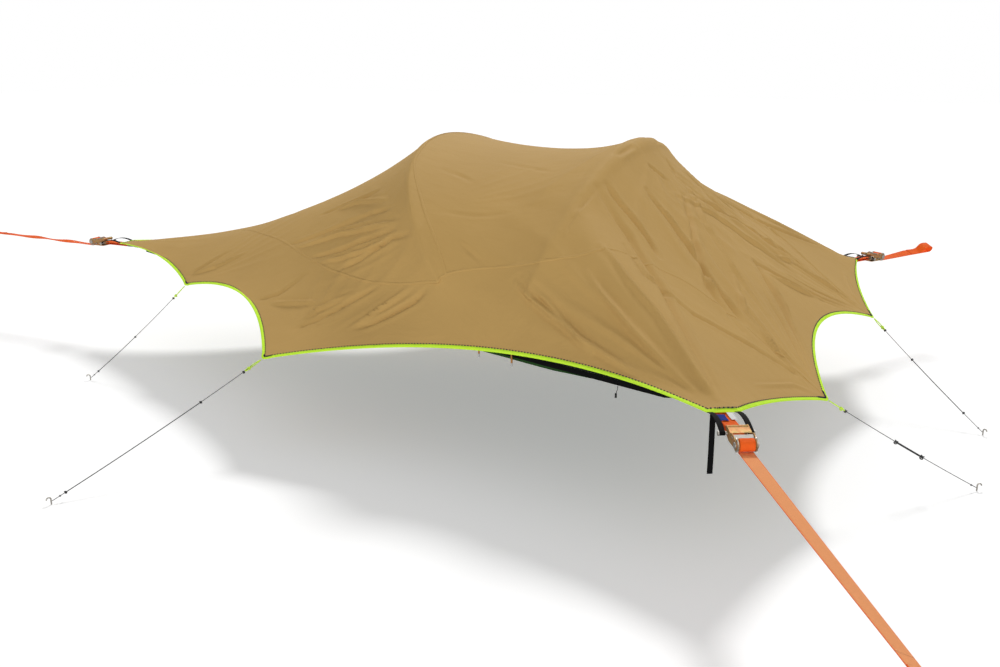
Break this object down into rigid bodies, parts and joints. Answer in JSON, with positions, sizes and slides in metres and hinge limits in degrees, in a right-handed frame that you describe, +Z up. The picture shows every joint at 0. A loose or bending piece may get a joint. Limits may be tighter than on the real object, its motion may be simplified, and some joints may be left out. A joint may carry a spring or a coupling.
{
  "type": "tree tent",
  "caption": "Triangular tent slung between trees by ratchet straps: floor with insect net over two pole hoops under a tan rain fly guyed to ground pegs.",
  "frame": {"origin": "middle of the sewn eye at the end of the apex tree strap, level with the plane of the corner rings", "axes": "+X along the axis of symmetry from the apex (feet) to the head side, +Z up, +Y to the far side"},
  "size_m": [6.1959, 4.9385, 1.4593],
  "materials": {
    "fly_cloth": "coated ripstop polyester, satin",
    "lime_trim": "woven binding, lime green",
    "floor_cloth": "coated polyester, matt dark green",
    "net_cloth": "black mesh",
    "black_webbing": "woven webbing",
    "orange_webbing": "woven polyester webbing",
    "pole_alloy": "anodised tube, bronze",
    "steel": "zinc plated",
    "yellow_zinc": "yellow zinc plated",
    "guy_cord": "braided cord"
  },
  "bodies": {
    "tent": {"floor_sheet": "floor_cloth", "floor_edge_band": "black_webbing", "foot_pole": "pole_alloy", "head_pole": "pole_alloy", "insect_net": "net_cloth", "rain_fly": "fly_cloth", "fly_edge_trim": "lime_trim", "apex_ring": "steel", "apex_corner_loop": "black_webbing", "apex_ratchet_loop": "orange_webbing", "apex_loop_bolt": "steel", "apex_ratchet_frame": "yellow_zinc", "apex_tree_strap": "orange_webbing", "apex_fly_strap_left": "black_webbing", "apex_fly_strap_right": "black_webbing", "near_ring": "steel", "near_corner_loop": "black_webbing", "near_ratchet_loop": "orange_webbing", "near_loop_bolt": "steel", "near_ratchet_frame": "yellow_zinc", "near_tree_strap": "orange_webbing", "near_fly_strap_left": "black_webbing", "near_fly_strap_right": "black_webbing", "far_ring": "steel", "far_corner_loop": "black_webbing", "far_ratchet_loop": "orange_webbing", "far_loop_bolt": "steel", "far_ratchet_frame": "yellow_zinc", "far_tree_strap": "orange_webbing", "far_fly_strap_left": "black_webbing", "far_fly_strap_right": "black_webbing", "near_fore_guy": "guy_cord", "near_fore_peg": "steel", "near_aft_guy": "guy_cord", "near_aft_peg": "steel", "near_head_guy": "guy_cord", "near_head_peg": "steel", "far_fore_guy": "guy_cord", "far_fore_peg": "steel", "far_aft_guy": "guy_cord", "far_aft_peg": "steel", "far_head_guy": "guy_cord", "far_head_peg": "steel", "near_strap_tail": "black_webbing"},
    "apex_spindle": {"apex_spindle": "steel", "apex_strap_roll": "orange_webbing"},
    "apex_handle": {"apex_ratchet_handle": "yellow_zinc"},
    "apex_drive_pawl": {"apex_drive_pawl": "steel"},
    "apex_lock_pawl": {"apex_lock_pawl": "steel"},
    "near_spindle": {"near_spindle": "steel", "near_strap_roll": "orange_webbing"},
    "near_handle": {"near_ratchet_handle": "yellow_zinc"},
    "near_drive_pawl": {"near_drive_pawl": "steel"},
    "near_lock_pawl": {"near_lock_pawl": "steel"},
    "far_spindle": {"far_spindle": "steel", "far_strap_roll": "orange_webbing"},
    "far_handle": {"far_ratchet_handle": "yellow_zinc"},
    "far_drive_pawl": {"far_drive_pawl": "steel"},
    "far_lock_pawl": {"far_lock_pawl": "steel"}
  },
  "joints": [
    {"name": "apex_handle_hinge", "type": "hinge", "parent": "tent", "child": "apex_handle", "pos_m": [0.98, 0, 0], "axis": [0, -1, 0], "range_deg": [0, 170]},
    {"name": "apex_spindle_turn", "type": "hinge", "parent": "tent", "child": "apex_spindle", "pos_m": [0.98, 0, 0], "axis": [0, -1, 0], "continuous": true},
    {"name": "apex_drive_pawl_slide", "type": "slide", "parent": "apex_handle", "child": "apex_drive_pawl", "axis": [0.8829, 0, 0.4695], "range_m": [0, 0.006], "stiffness_N_per_m": 300, "springref_m": -0.01},
    {"name": "apex_lock_pawl_slide", "type": "slide", "parent": "tent", "child": "apex_lock_pawl", "axis": [0.9781, 0, -0.2079], "range_m": [0, 0.006], "stiffness_N_per_m": 300, "springref_m": -0.01},
    {"name": "near_handle_hinge", "type": "hinge", "parent": "tent", "child": "near_handle", "pos_m": [5.46, -1.65213, 0], "axis": [0.866, 0.5, 0], "range_deg": [0, 170]},
    {"name": "near_spindle_turn", "type": "hinge", "parent": "tent", "child": "near_spindle", "pos_m": [5.46, -1.65213, 0], "axis": [0.866, 0.5, 0], "continuous": true},
    {"name": "near_drive_pawl_slide", "type": "slide", "parent": "near_handle", "child": "near_drive_pawl", "axis": [-0.4415, 0.7647, 0.4695], "range_m": [0, 0.006], "stiffness_N_per_m": 300, "springref_m": -0.01},
    {"name": "near_lock_pawl_slide", "type": "slide", "parent": "tent", "child": "near_lock_pawl", "axis": [-0.4891, 0.8471, -0.2079], "range_m": [0, 0.006], "stiffness_N_per_m": 300, "springref_m": -0.01},
    {"name": "far_handle_hinge", "type": "hinge", "parent": "tent", "child": "far_handle", "pos_m": [5.46, 1.65213, 0], "axis": [-0.866, 0.5, 0], "range_deg": [0, 170]},
    {"name": "far_spindle_turn", "type": "hinge", "parent": "tent", "child": "far_spindle", "pos_m": [5.46, 1.65213, 0], "axis": [-0.866, 0.5, 0], "continuous": true},
    {"name": "far_drive_pawl_slide", "type": "slide", "parent": "far_handle", "child": "far_drive_pawl", "axis": [-0.4415, -0.7647, 0.4695], "range_m": [0, 0.006], "stiffness_N_per_m": 300, "springref_m": -0.01},
    {"name": "far_lock_pawl_slide", "type": "slide", "parent": "tent", "child": "far_lock_pawl", "axis": [-0.4891, -0.8471, -0.2079], "range_m": [0, 0.006], "stiffness_N_per_m": 300, "springref_m": -0.01}
  ]
}
